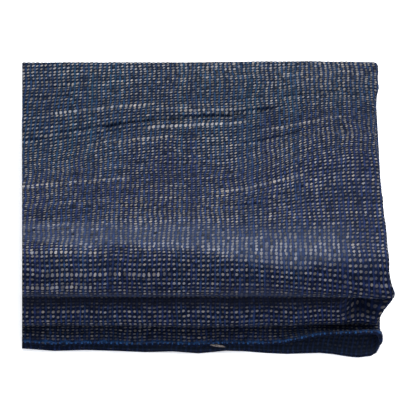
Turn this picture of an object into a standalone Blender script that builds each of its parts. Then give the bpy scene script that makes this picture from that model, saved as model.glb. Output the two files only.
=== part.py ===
"""A length of coarse blue chambray, doubled end to end and folded back and forth into a flat pad.

The cloth is one woven piece. It is doubled first, so two plies lie on each other and are joined by a
hairpin turn at the right-hand end. The doubled cloth is then folded back and forth from front to back.
Its section, seen from the left-hand end, starts at the two selvedges on the floor in front:

    top layer      back to front over the large front roll
    tucked layer   under the top layer, its selvedges hidden inside the large roll
    lower layers   joined by a small front roll and by hairpin folds at the back

X runs to the right along the front, Y runs to the back and Z is up. All sizes are in metres.
"""

from collections import namedtuple

import bmesh
import bpy
import numpy as np

# Thickness of one ply, and the air between one ply and the next
PLY = 0.0018
AIR = 0.0014
PLY_PITCH = PLY + AIR
DOUBLED = PLY_PITCH + PLY
HALF_DOUBLED = 0.5 * DOUBLED
LAYER_PITCH = DOUBLED + AIR

# Where the rolls and folds turn, measured back from the selvedges at the front
SMALL_ROLL_TURN = 0.0147
LARGE_ROLL_TURN = 0.0235
BACK_TURN_LOW = 0.1975
BACK_TURN_MIDDLE = 0.1958
BACK_TURN_TOP = 0.1982
TUCKED_END = 0.0170

# Height of the middle of each doubled layer: at its front end, and from the middle of the pad back.
# The rise is the stretch over which it passes from one to the other.
Layer = namedtuple("Layer", "name front_height back_height front_end back_end rise steps crowding")
LAYERS = [
    Layer("floor", HALF_DOUBLED, HALF_DOUBLED, 0.0, BACK_TURN_LOW, 0.040, 12, 2.1),
    Layer("second", 0.0081, HALF_DOUBLED + 1 * LAYER_PITCH, SMALL_ROLL_TURN, BACK_TURN_LOW, 0.050, 8, 1.5),
    Layer("third", 0.0164, HALF_DOUBLED + 2 * LAYER_PITCH, SMALL_ROLL_TURN, BACK_TURN_MIDDLE, 0.050, 8, 1.7),
    Layer("fourth", 0.0225, HALF_DOUBLED + 3 * LAYER_PITCH, LARGE_ROLL_TURN, BACK_TURN_MIDDLE, 0.050, 8, 1.5),
    Layer("top", 0.0434, HALF_DOUBLED + 5 * LAYER_PITCH, LARGE_ROLL_TURN, BACK_TURN_TOP, 0.095, 13, 1.3),
    Layer("tucked", 0.0320, HALF_DOUBLED + 4 * LAYER_PITCH, TUCKED_END, BACK_TURN_TOP, 0.090, 8, 1.3),
]

# Facets round the fold that leads into each layer
FOLD_STEPS = {"second": 5, "third": 7, "fourth": 5, "top": 11, "tucked": 5}

# Across the cloth: columns from the cut ends to the hairpin turn, and round the turn itself
FLAT_COLUMNS = 10
TURN_COLUMNS = 5
COLUMN_CROWDING = 1.3

# The cut ends lie on one slanting plane: its place at the front on the floor, and how it moves per
# metre back and per metre up
CUT_PLACE = -0.0959
CUT_PER_DEPTH = -0.0466
CUT_PER_HEIGHT = 0.0364

# Right-hand end of the doubled cloth, from the front selvedge along the path to the tucked selvedge
RightEnd = namedtuple("RightEnd", "layer share place")
RIGHT_ENDS = [
    RightEnd("floor", 0.00, 0.0850),
    RightEnd("floor", 0.12, 0.0868),
    RightEnd("floor", 1.00, 0.0905),
    RightEnd("second", 0.50, 0.0890),
    RightEnd("second", 1.00, 0.0856),
    RightEnd("third", 0.10, 0.0865),
    RightEnd("third", 0.50, 0.0890),
    RightEnd("third", 1.00, 0.0908),
    RightEnd("fourth", 0.50, 0.0892),
    RightEnd("fourth", 1.00, 0.0906),
    RightEnd("top", 0.00, 0.0902),
    RightEnd("top", 0.50, 0.0894),
    RightEnd("top", 0.66, 0.0883),
    RightEnd("top", 0.79, 0.0895),
    RightEnd("top", 0.90, 0.0918),
    RightEnd("top", 1.00, 0.0924),
    RightEnd("tucked", 0.20, 0.0905),
    RightEnd("tucked", 1.00, 0.0893),
]

# The open loop at the right-hand end of the selvedges: how much wider its turn is, and how far back
# along the cloth it stays wide
LOOP_WIDENING = 0.0025
LOOP_REACH = 0.012

# How far the floor layer's lower selvedge lies in front of its straight line, how far back the wave
# reaches, and the share of it that the upper selvedge lacks
EDGE_REACH = 0.012
EDGE_EASED = 0.55
EdgePoint = namedtuple("EdgePoint", "across forward")
EDGE_WAVE = [
    EdgePoint(-0.0958, -0.0008),
    EdgePoint(-0.0770, 0.0012),
    EdgePoint(-0.0560, 0.0002),
    EdgePoint(-0.0370, 0.0023),
    EdgePoint(-0.0210, 0.0013),
    EdgePoint(-0.0080, 0.0033),
    EdgePoint(0.0090, 0.0008),
    EdgePoint(0.0400, 0.0035),
    EdgePoint(0.0577, 0.0027),
    EdgePoint(0.0773, 0.0062),
    EdgePoint(0.0830, 0.0046),
    EdgePoint(0.0886, -0.0015),
]

# Soft rises and hollows of the whole pad: height at the top, place and reach across and back
Swell = namedtuple("Swell", "height across across_reach back back_reach")
SWELLS = [
    Swell(0.0026, 0.000, 0.300, 0.200, 0.060),
    Swell(0.0012, -0.060, 0.050, 0.075, 0.045),
    Swell(-0.0012, 0.030, 0.040, 0.100, 0.035),
    Swell(0.0014, 0.070, 0.035, 0.150, 0.050),
    Swell(-0.0010, 0.090, 0.030, 0.060, 0.040),
]

# Local pulls on the cloth. Each names a layer and the share of the way along it, how far the pull
# reaches along the path, where it lies across and how far it reaches there, how it moves the upper
# ply, and the share of that which the lower ply takes.
Pull = namedtuple("Pull", "layer share reach across across_reach move lower_ply")
PULLS = [
    Pull("floor", 0.00, 0.0065, 0.062, 0.022, (0.0, 0.0008, 0.0058), 0.0),
    Pull("floor", 0.00, 0.0065, 0.085, 0.016, (0.0, 0.0008, 0.0060), 0.0),
    Pull("second", 1.00, 0.0100, 0.070, 0.030, (0.0, 0.0, 0.0015), 1.0),
    Pull("third", 0.00, 0.0060, 0.077, 0.008, (0.0, 0.0012, -0.0018), 1.0),
    Pull("third", 0.00, 0.0050, 0.095, 0.008, (0.0068, -0.0012, 0.0056), 1.0),
    Pull("fourth", 1.06, 0.0080, 0.095, 0.014, (0.0031, 0.0, -0.0012), 1.0),
]

# A height below this is the floor's
LEVEL_ENOUGH = 1e-7

CLOTH_BLUE = (0.020, 0.045, 0.120, 1.0)
CLOTH_ROUGHNESS = 0.92


def smooth_share(value):
    """Passes from 0 to 1 with level ends: three times the square less twice the cube."""
    share = np.clip(value, 0.0, 1.0)
    return share * share * (3.0 - 2.0 * share)


def bell(distance, reach):
    """A bell curve: one at the middle, and about a third at the reach."""
    return np.exp(-((distance / reach) ** 2))


def layer_line(layer, runs_forward):
    """Points and tangents (back, up) along one layer, from front to back, or back to front if it runs
    forward. The height passes smoothly from its front value to its back value over the rise."""
    share = np.linspace(0.0, 1.0, layer.steps + 1) ** layer.crowding
    back = layer.front_end + (layer.back_end - layer.front_end) * share
    along = np.clip((back - layer.front_end) / layer.rise, 0.0, 1.0)
    climb = layer.back_height - layer.front_height
    height = layer.front_height + climb * smooth_share(along)
    slope = climb * 6.0 * along * (1.0 - along) / layer.rise
    points = np.stack([back, height], axis=1)
    tangents = np.stack([np.ones_like(slope), slope], axis=1)
    tangents /= np.linalg.norm(tangents, axis=1, keepdims=True)
    if runs_forward:
        return points[::-1], -tangents[::-1]
    return points, tangents


def fold_line(start, end, steps, outward):
    """The inner points of a half circle from start up to end, bulging to the back (1) or front (-1)."""
    angle = np.linspace(-0.5 * np.pi, 0.5 * np.pi, steps + 1)[1:-1]
    turn = 1.0 if end[1] > start[1] else -1.0
    radius = 0.5 * abs(end[1] - start[1])
    middle = 0.5 * (start[1] + end[1])
    back = start[0] + outward * radius * np.cos(angle)
    height = middle + turn * radius * np.sin(angle)
    points = np.stack([back, height], axis=1)
    tangents = np.stack([-outward * np.sin(angle), turn * np.cos(angle)], axis=1)
    return points, tangents


def cloth_path():
    """The doubled cloth's middle line: points, tangents, distance, and each layer's start and end."""
    points = []
    tangents = []
    spans = {}
    for number, layer in enumerate(LAYERS):
        runs_forward = number % 2 == 1
        line, line_tangents = layer_line(layer, runs_forward)
        if points:
            last = points[-1][-1]
            outward = 1.0 if runs_forward else -1.0
            fold, fold_tangents = fold_line(last, line[0], FOLD_STEPS[layer.name], outward)
            points.append(fold)
            tangents.append(fold_tangents)
        first = sum(len(part) for part in points)
        spans[layer.name] = (first, first + len(line) - 1)
        points.append(line)
        tangents.append(line_tangents)
    points = np.concatenate(points)
    tangents = np.concatenate(tangents)
    steps = np.linalg.norm(np.diff(points, axis=0), axis=1)
    distance = np.concatenate([[0.0], np.cumsum(steps)])
    return points, tangents, distance, spans


def path_place(distance, spans, layer, share):
    """The distance along the path at a share of the way along a layer."""
    first, last = spans[layer]
    return distance[first] + share * (distance[last] - distance[first])


def cloth_section():
    """The doubled cloth's section, from the upper ply's cut end round the hairpin to the lower ply's.

    For the outer and the inner face of the ply it gives the height above the middle line, the share of
    the way from the cut end to the turn, the radius of the turn, and the angle round it: a quarter turn
    up on the upper ply, level at the hairpin's far end and a quarter turn down on the lower ply.
    """
    flat = 1.0 - (1.0 - np.linspace(0.0, 1.0, FLAT_COLUMNS + 1)) ** COLUMN_CROWDING
    angle = np.linspace(0.5 * np.pi, -0.5 * np.pi, TURN_COLUMNS + 1)
    share = np.concatenate([flat[:-1], np.ones(TURN_COLUMNS + 1), flat[:-1][::-1]])
    turn = np.concatenate([np.full(FLAT_COLUMNS, 0.5 * np.pi), angle, np.full(FLAT_COLUMNS, -0.5 * np.pi)])
    faces = []
    for radius in (0.5 * (PLY_PITCH + PLY), 0.5 * (PLY_PITCH - PLY)):
        faces.append((radius * np.sin(turn), share, radius, turn))
    return faces


def pulled(x, y, z, distance, spans, upper):
    """The points moved by every local pull, each a bell curve along the path and across the cloth."""
    for pull in PULLS:
        along = distance - path_place(distance, spans, pull.layer, pull.share)
        weight = bell(along, pull.reach)[:, None] * bell(x - pull.across, pull.across_reach)
        weight = weight * (pull.lower_ply + (1.0 - pull.lower_ply) * upper[None, :])
        x = x + weight * pull.move[0]
        y = y + weight * pull.move[1]
        z = z + weight * pull.move[2]
    return x, y, z


def swollen(x, y, z):
    """The heights scaled by every swell, so the floor stays level and the top takes all of it."""
    top = HALF_DOUBLED + LAYERS[-2].back_height
    for swell in SWELLS:
        weight = bell(x - swell.across, swell.across_reach) * bell(y - swell.back, swell.back_reach)
        z = z * (1.0 + swell.height / top * weight)
    return z


def swept_cloth():
    """The cloth's grid of points: along the path, across the section, and outer and inner face."""
    points, tangents, distance, spans = cloth_path()
    normals = np.stack([-tangents[:, 1], tangents[:, 0]], axis=1)
    places = [path_place(distance, spans, end.layer, end.share) for end in RIGHT_ENDS]
    right = np.interp(distance, places, [end.place for end in RIGHT_ENDS])[:, None]
    edge_across = [point.across for point in EDGE_WAVE]
    edge_forward = [point.forward for point in EDGE_WAVE]
    widening = LOOP_WIDENING * bell(distance, LOOP_REACH)[:, None]
    grids = []
    for height, share, radius, turn in cloth_section():
        upper = 0.5 * (1.0 + np.sin(turn))
        back = points[:, None, 0] + normals[:, None, 0] * height[None, :]
        up = points[:, None, 1] + normals[:, None, 1] * height[None, :]
        up[np.abs(up) < LEVEL_ENOUGH] = 0.0
        cut = CUT_PLACE + CUT_PER_DEPTH * back + CUT_PER_HEIGHT * up
        x = cut + share[None, :] * (right - cut) + (radius + widening) * np.cos(turn)[None, :]
        x, y, z = pulled(x, back, up, distance, spans, upper)
        edge = bell(distance, EDGE_REACH)[:, None] * (1.0 - EDGE_EASED * upper[None, :])
        y = y - edge * np.interp(x, edge_across, edge_forward)
        z = swollen(x, y, z)
        shift = CUT_PER_DEPTH * (y - back) + CUT_PER_HEIGHT * (z - up)
        x = x + shift * (1.0 - share[None, :])
        grids.append(np.stack([x, y, z], axis=2))
    return np.stack(grids, axis=2)


def strip_faces(first, second):
    """Quads between two equal rows of point numbers."""
    return np.stack([first[:-1], first[1:], second[1:], second[:-1]], axis=1)


def cloth_faces(rows, columns):
    """All the quads of the closed sheet: its two faces, its cut ends and its selvedges."""
    number = np.arange(rows * columns * 2).reshape(rows, columns, 2)
    faces = []
    for row in range(rows - 1):
        faces.append(strip_faces(number[row, :, 0], number[row + 1, :, 0]))
        faces.append(strip_faces(number[row + 1, :, 1], number[row, :, 1]))
    for column in (0, columns - 1):
        faces.append(strip_faces(number[:, column, 0], number[:, column, 1]))
    for row in (0, rows - 1):
        faces.append(strip_faces(number[row, :, 0], number[row, :, 1]))
    return np.concatenate(faces)


def cloth_material():
    """Dull indigo cotton."""
    material = bpy.data.materials.new("blue chambray")
    material.use_nodes = True
    shader = material.node_tree.nodes["Principled BSDF"]
    shader.inputs["Base Color"].default_value = CLOTH_BLUE
    shader.inputs["Roughness"].default_value = CLOTH_ROUGHNESS
    shader.inputs["Metallic"].default_value = 0.0
    return material


def make_cloth():
    """Builds the cloth, centred on the floor under the middle of the pad."""
    grid = swept_cloth()
    rows, columns = grid.shape[:2]
    points = grid.reshape(-1, 3)
    middle = 0.5 * (points.min(axis=0) + points.max(axis=0))
    points = points - np.array([middle[0], middle[1], 0.0])
    mesh = bpy.data.meshes.new("cloth")
    mesh.from_pydata(points.tolist(), [], cloth_faces(rows, columns).tolist())
    shape = bmesh.new()
    shape.from_mesh(mesh)
    bmesh.ops.recalc_face_normals(shape, faces=shape.faces)
    bmesh.ops.triangulate(shape, faces=shape.faces)
    shape.to_mesh(mesh)
    shape.free()
    mesh.shade_smooth()
    mesh.set_sharp_from_angle(angle=np.radians(50.0))
    cloth = bpy.data.objects.new("cloth", mesh)
    cloth.data.materials.append(cloth_material())
    bpy.context.scene.collection.objects.link(cloth)
    return cloth


for old in list(bpy.data.objects):
    bpy.data.objects.remove(old)

make_cloth()
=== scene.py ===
# %% [markdown]
# # A folded length of coarse blue chambray
#
# This lesson dresses one folded cloth. On the real thing a hand loom crosses navy warp yarns with navy
# and beige weft yarns. The cloth is doubled end to end, folded back and forth into a pad, and its two
# selvedges lie open at the front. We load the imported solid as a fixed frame, lay a finer sheet on the
# same folds, and then weave the cloth in a shader. All sizes are in metres.

from collections import namedtuple
from functools import partial

import bmesh
import bpy
import numpy as np
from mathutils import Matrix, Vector


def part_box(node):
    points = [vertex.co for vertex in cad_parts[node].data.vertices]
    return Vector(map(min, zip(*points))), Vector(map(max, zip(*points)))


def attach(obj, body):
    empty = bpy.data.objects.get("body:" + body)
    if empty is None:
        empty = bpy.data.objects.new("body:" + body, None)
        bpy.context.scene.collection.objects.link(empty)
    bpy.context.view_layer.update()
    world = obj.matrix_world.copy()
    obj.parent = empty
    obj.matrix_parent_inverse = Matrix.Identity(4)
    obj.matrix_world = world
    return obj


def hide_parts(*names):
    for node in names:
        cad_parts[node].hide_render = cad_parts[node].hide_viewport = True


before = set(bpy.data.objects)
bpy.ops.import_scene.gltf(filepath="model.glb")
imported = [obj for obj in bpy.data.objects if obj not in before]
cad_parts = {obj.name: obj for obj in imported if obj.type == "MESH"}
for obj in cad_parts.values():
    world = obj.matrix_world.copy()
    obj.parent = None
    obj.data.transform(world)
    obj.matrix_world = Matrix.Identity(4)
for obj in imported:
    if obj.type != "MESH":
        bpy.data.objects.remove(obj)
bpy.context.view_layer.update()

# %% [markdown]
# ## The folded path
#
# Seen from its cut end, the doubled cloth is one line that runs back and forth. Six layers lie on each
# other, and half circles join them: hairpins at the back, a small roll and a large roll at the front.
# We could model that line with a curve object, but a short table of layers and two formulas give the
# same line at any fineness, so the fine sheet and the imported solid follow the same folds.

# %% Sizes of the cloth and its layers
PLY = 0.0018
AIR = 0.0014
PLY_PITCH = PLY + AIR
HALF_DOUBLED = 0.5 * (PLY_PITCH + PLY)
LAYER_PITCH = 2.0 * HALF_DOUBLED + AIR
SMALL_ROLL_TURN = 0.0147
LARGE_ROLL_TURN = 0.0235
BACK_TURN_LOW = 0.1975
BACK_TURN_MIDDLE = 0.1958
BACK_TURN_TOP = 0.1982
TUCKED_END = 0.0170
LINE_STEPS = 400
FOLD_STEPS = 120

Layer = namedtuple("Layer", "name front_height back_height front_end back_end rise")
LAYERS = [
    Layer("floor", HALF_DOUBLED, HALF_DOUBLED, 0.0, BACK_TURN_LOW, 0.040),
    Layer("second", 0.0081, HALF_DOUBLED + 1 * LAYER_PITCH, SMALL_ROLL_TURN, BACK_TURN_LOW, 0.050),
    Layer("third", 0.0164, HALF_DOUBLED + 2 * LAYER_PITCH, SMALL_ROLL_TURN, BACK_TURN_MIDDLE, 0.050),
    Layer("fourth", 0.0225, HALF_DOUBLED + 3 * LAYER_PITCH, LARGE_ROLL_TURN, BACK_TURN_MIDDLE, 0.050),
    Layer("top", 0.0434, HALF_DOUBLED + 5 * LAYER_PITCH, LARGE_ROLL_TURN, BACK_TURN_TOP, 0.095),
    Layer("tucked", 0.0320, HALF_DOUBLED + 4 * LAYER_PITCH, TUCKED_END, BACK_TURN_TOP, 0.090),
]


# %% The path's formulas
def smooth_share(value):
    """Passes from 0 to 1 with level ends: three times the square less twice the cube."""
    share = np.clip(value, 0.0, 1.0)
    return share * share * (3.0 - 2.0 * share)


def bell(distance, reach):
    """A bell curve: the exponential of minus the square of distance over reach."""
    return np.exp(-((distance / reach) ** 2))


def layer_line(layer, runs_forward):
    """Points of one layer, back and up. The height is the front value plus the climb times the smooth
    share of the way along the rise."""
    back = np.linspace(layer.front_end, layer.back_end, LINE_STEPS)
    climb = layer.back_height - layer.front_height
    height = layer.front_height + climb * smooth_share((back - layer.front_end) / layer.rise)
    points = np.stack([back, height], axis=1)
    return points[::-1] if runs_forward else points


def fold_line(start, end, outward):
    """Inner points of a half circle from start to end: its middle plus the radius times the cosine of
    the angle outward and the sine of the angle upward."""
    angle = np.linspace(-0.5 * np.pi, 0.5 * np.pi, FOLD_STEPS)[1:-1]
    radius = 0.5 * (end[1] - start[1])
    back = start[0] + outward * abs(radius) * np.cos(angle)
    height = start[1] + radius * (1.0 + np.sin(angle))
    return np.stack([back, height], axis=1)


def cloth_path():
    """The doubled cloth's middle line: points, distance along it, and where each layer lies on it."""
    points = layer_line(LAYERS[0], False)
    spans = {LAYERS[0].name: (0, len(points) - 1)}
    for number, layer in enumerate(LAYERS[1:], start=1):
        runs_forward = number % 2 == 1
        line = layer_line(layer, runs_forward)
        fold = fold_line(points[-1], line[0], 1.0 if runs_forward else -1.0)
        points = np.concatenate([points, fold, line])
        spans[layer.name] = (len(points) - len(line), len(points) - 1)
    steps = np.linalg.norm(np.diff(points, axis=0), axis=1)
    return points, np.concatenate([[0.0], np.cumsum(steps)]), spans


path_points, path_distance, path_spans = cloth_path()
path_tangents = np.gradient(path_points, path_distance, axis=0)
path_tangents /= np.linalg.norm(path_tangents, axis=1, keepdims=True)
path_table = np.concatenate([path_points, path_tangents], axis=1)


def path_place(layer, share):
    """The distance along the path at a share of the way along a layer."""
    first, last = path_spans[layer]
    return path_distance[first] + share * (path_distance[last] - path_distance[first])


def woven_distance(points, distance):
    """The distance on the outside of every turn: the distance along the middle line plus half the
    doubled thickness times the angle turned so far."""
    steps = np.diff(points, axis=0)
    heading = np.unwrap(np.arctan2(steps[:, 1], steps[:, 0]))
    turned = np.concatenate([[0.0], np.cumsum(np.abs(np.diff(heading))), [0.0]])
    turned[-1] = turned[-2]
    return distance + HALF_DOUBLED * turned


path_woven = woven_distance(path_points, path_distance)
CREST_PLACE = np.interp(path_place("top", 0.0), path_distance, path_woven)
CLOTH_LENGTH = path_distance[-1]
print("path length, mm:", round(1000 * CLOTH_LENGTH, 1), "crest at", round(1000 * CREST_PLACE, 1))

# %% [markdown]
# ## The weave's own grid
#
# Beige dots stand where a beige weft yarn passes over a pair of warp yarns, 2.5 mm apart across and
# 2.45 mm apart along the cloth. The sheet's grid follows the yarns: two vertices to each dot, one on it
# and one in the gap, so the mesh itself can rise and fall with the weave. Hidden stretches need no
# dots and take long steps. Rows lie at chosen distances along the cloth, columns at distances across.

# %% Rows and columns of the grid
COLUMN_PITCH = 0.0025
ROW_PITCH = 0.00245
HALF_COLUMN = 0.5 * COLUMN_PITCH
HALF_ROW = 0.5 * ROW_PITCH
CREST = ROW_PITCH * round(CREST_PLACE / ROW_PITCH)
OUTER_RADIUS = HALF_DOUBLED
INNER_RADIUS = 0.5 * (PLY_PITCH - PLY)

RowRun = namedtuple("RowRun", "end stride shown")
ROW_RUNS = [
    RowRun(0.030, 1, True),
    RowRun(0.192, 10, False),
    RowRun(0.212, 1, False),
    RowRun(0.374, 10, False),
    RowRun(0.424, 1, True),
    RowRun(0.580, 10, False),
    RowRun(0.599, 1, False),
    RowRun(0.752, 10, False),
    RowRun(1.002, 1, True),
    RowRun(CLOTH_LENGTH, 10, False),
]
FIRST_COLUMN = -87
FINE_FROM = 67
FINE_TO = 81
LOWER_COLUMNS = 16
LOWER_CROWDING = 1.6


def row_places():
    """Distances along the cloth of all rows, in whole half pitches but for the last, and whether each
    one shows."""
    numbers = [0]
    shown = [True]
    for run in ROW_RUNS:
        last = int(np.interp(run.end, path_distance, path_woven) / HALF_ROW)
        steps = np.arange(numbers[-1] + run.stride, last + 1, run.stride)
        numbers.extend(steps.tolist())
        shown.extend([run.shown] * len(steps))
    if len(numbers) % 2 == 1:
        numbers.append(numbers[-1] + 1)
        shown.append(False)
    rows = np.append(np.array(numbers) * HALF_ROW, path_woven[-1])
    return rows, np.append(shown, False)


def column_places():
    """Distances across the cloth from the left: half a pitch apart on the upper ply, a quarter round
    the hairpin."""
    wide = np.arange(FIRST_COLUMN, FINE_FROM) * HALF_COLUMN
    fine = np.arange(2 * FINE_FROM, 2 * FINE_TO + 1) * 0.5 * HALF_COLUMN
    return np.concatenate([wide, fine])


row_place, row_shown = row_places()
column_place = column_places()
print("rows:", len(row_place), "columns:", len(column_place), "and", LOWER_COLUMNS, "on the lower ply")

# %% [markdown]
# ## Where the weft wanders
#
# The rows of dots aren't straight. Handling has drawn them up towards the right on the top, most of all
# in the middle of the right half, and down at the right end of the front, and the columns waver. A slope
# field gives each row's slant at each place, and its sum across, from the middle of the cloth, says how
# far a row has moved along the cloth.

# %% Slant of the rows
Slant = namedtuple("Slant", "slope across across_reach behind behind_reach")
SLANTS = [
    Slant(0.380, 0.036, 0.026, 0.078, 0.042),
    Slant(0.220, -0.060, 0.026, 0.112, 0.030),
    Slant(-0.160, 0.076, 0.030, -0.024, 0.014),
    Slant(-0.055, 0.042, 0.030, -0.016, 0.026),
    Slant(0.060, -0.085, 0.035, 0.095, 0.070),
    Slant(-0.070, -0.004, 0.028, 0.118, 0.025),
    Slant(-0.240, 0.088, 0.012, 0.115, 0.060),
    Slant(0.150, 0.024, 0.018, 0.062, 0.020),
    Slant(0.060, -0.010, 0.030, 0.120, 0.008),
]
EVEN_SLANT = 0.075
SLANT_IN = 0.040
SLANT_OUT_FROM = 0.150
SLANT_OUT_TO = 0.205
SLANT_TABLE_SIDE = 0.110
SLANT_TABLE_POINTS = 111
WAVER_FLATNESS = 320.0
WAVER_FADE = 0.006
WAVER_WAVES = 12
WAVER_LENGTHS = (0.009, 0.045)
ALONG_SEED = 8
ACROSS_SEED = 5
TURN = 2.0 * np.pi


def drawn_rows(across, behind):
    """How far the rows have moved along the cloth: the slope summed across, by the trapezium rule, on
    a table of 2 mm steps, and read from it at each column."""
    steps = np.linspace(-SLANT_TABLE_SIDE, SLANT_TABLE_SIDE, SLANT_TABLE_POINTS)
    fade_in = smooth_share(behind / SLANT_IN)
    fade_out = 1.0 - smooth_share((behind - SLANT_OUT_FROM) / (SLANT_OUT_TO - SLANT_OUT_FROM))
    slope = np.outer(EVEN_SLANT * fade_in, np.ones(len(steps)))
    for slant in SLANTS:
        across_bell = bell(steps - slant.across, slant.across_reach)
        slope += slant.slope * np.outer(bell(behind - slant.behind, slant.behind_reach), across_bell)
    slope *= fade_out[:, None]
    total = np.cumsum(0.5 * (slope[:, 1:] + slope[:, :-1]) * np.diff(steps), axis=1)
    total = np.concatenate([np.zeros((len(behind), 1)), total], axis=1)
    total -= total[:, len(steps) // 2][:, None]
    return np.stack([np.interp(across, steps, line) for line in total])


def waver(along, across, seed):
    """A seeded wander of up to about 0.5 mm: a sum of waves of random length, slant and phase, each as
    high as its length over WAVER_FLATNESS."""
    draw = np.random.default_rng(seed)
    total = np.zeros(np.broadcast(along, across).shape)
    for _ in range(WAVER_WAVES):
        length = draw.uniform(*WAVER_LENGTHS)
        slant = draw.uniform(0.0, TURN)
        phase = draw.uniform(0.0, TURN)
        place = along * np.cos(slant) + across * np.sin(slant)
        total += length * np.sin(TURN * place / length + phase)
    return total / WAVER_FLATNESS


# %% [markdown]
# ## Across the cloth
#
# The section across is a hairpin: an upper ply, a tight turn at the right and a lower ply. The columns
# run straight in the cloth, and the hairpin rolls over them where the cloth was doubled. The cut ends
# at the left lie on one slanting plane. Short tables hold what the hands that folded it left behind:
# where each layer ends, how the front selvedge waves, which places swell or sink, and where it is pulled.

# %% Tables of the folded form
CUT_PLACE = -0.0959
CUT_PER_DEPTH = -0.0466
CUT_PER_HEIGHT = 0.0364
LOOP_WIDENING = 0.0025
LOOP_REACH = 0.012
EDGE_REACH = 0.012
EDGE_EASED = 0.55
LEVEL_ENOUGH = 1e-6
PAST_THE_CUT = 0.2

RightEnd = namedtuple("RightEnd", "layer share place")
RIGHT_ENDS = [
    RightEnd("floor", 0.00, 0.0850),
    RightEnd("floor", 0.12, 0.0868),
    RightEnd("floor", 1.00, 0.0905),
    RightEnd("second", 0.50, 0.0890),
    RightEnd("second", 1.00, 0.0856),
    RightEnd("third", 0.10, 0.0865),
    RightEnd("third", 0.50, 0.0890),
    RightEnd("third", 1.00, 0.0908),
    RightEnd("fourth", 0.50, 0.0892),
    RightEnd("fourth", 1.00, 0.0906),
    RightEnd("top", 0.00, 0.0902),
    RightEnd("top", 0.50, 0.0894),
    RightEnd("top", 0.66, 0.0883),
    RightEnd("top", 0.79, 0.0895),
    RightEnd("top", 0.90, 0.0918),
    RightEnd("top", 1.00, 0.0924),
    RightEnd("tucked", 0.20, 0.0905),
    RightEnd("tucked", 1.00, 0.0893),
]

EdgePoint = namedtuple("EdgePoint", "across forward")
EDGE_WAVE = [
    EdgePoint(-0.0958, -0.0008),
    EdgePoint(-0.0770, 0.0012),
    EdgePoint(-0.0560, 0.0002),
    EdgePoint(-0.0370, 0.0023),
    EdgePoint(-0.0210, 0.0013),
    EdgePoint(-0.0080, 0.0033),
    EdgePoint(0.0090, 0.0008),
    EdgePoint(0.0400, 0.0035),
    EdgePoint(0.0577, 0.0027),
    EdgePoint(0.0773, 0.0062),
    EdgePoint(0.0830, 0.0053),
    EdgePoint(0.0866, 0.0030),
    EdgePoint(0.0890, -0.0010),
]

Swell = namedtuple("Swell", "height across across_reach back back_reach")
SWELLS = [
    Swell(0.0026, 0.000, 0.300, 0.200, 0.060),
    Swell(0.0012, -0.060, 0.050, 0.075, 0.045),
    Swell(-0.0012, 0.030, 0.040, 0.100, 0.035),
    Swell(0.0014, 0.070, 0.035, 0.150, 0.050),
    Swell(-0.0010, 0.090, 0.030, 0.060, 0.040),
]

Pull = namedtuple("Pull", "layer share reach across across_reach move lower_ply")
PULLS = [
    Pull("floor", 0.00, 0.0065, 0.062, 0.022, (0.0, 0.0008, 0.0058), 0.0),
    Pull("floor", 0.00, 0.0065, 0.085, 0.016, (0.0, 0.0008, 0.0060), 0.0),
    Pull("second", 1.00, 0.0100, 0.070, 0.030, (0.0, 0.0, 0.0015), 1.0),
    Pull("third", 0.00, 0.0060, 0.0782, 0.0060, (0.0, 0.0160, -0.0036), 1.0),
    Pull("third", 0.00, 0.0043, 0.096, 0.008, (0.0155, -0.0085, 0.0182), 1.0),
    Pull("fourth", 1.06, 0.0080, 0.095, 0.014, (0.0031, 0.0, -0.0020), 1.0),
]


# %% The section and the local pulls
def smooth_curve(x, places, values):
    """A curve through the points: between two of them it passes from one value to the next by the
    smooth share."""
    places = np.asarray(places)
    values = np.asarray(values)
    number = np.clip(np.searchsorted(places, x) - 1, 0, len(places) - 2)
    share = (x - places[number]) / (places[number + 1] - places[number])
    return values[number] + (values[number + 1] - values[number]) * smooth_share(share)


def pulled(x, y, z, along, upper):
    """The points moved by every local pull: its move times one bell curve along the path and one
    across the cloth, and times the ply's share."""
    for pull in PULLS:
        weight = bell(along - path_place(pull.layer, pull.share), pull.reach)
        weight = weight * bell(x - pull.across, pull.across_reach)
        weight = weight * (pull.lower_ply + (1.0 - pull.lower_ply) * upper)
        x = x + weight * pull.move[0]
        y = y + weight * pull.move[1]
        z = z + weight * pull.move[2]
    return x, y, z


def swollen(x, y, z):
    """The heights scaled by every swell, so the floor stays level and the top takes all of it."""
    top = HALF_DOUBLED + LAYERS[-2].back_height
    for swell in SWELLS:
        weight = bell(x - swell.across, swell.across_reach) * bell(y - swell.back, swell.back_reach)
        z = z * (1.0 + swell.height / top * weight)
    return z


# %% The swept sheet
Face = namedtuple("Face", "points weave upper first")


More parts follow.
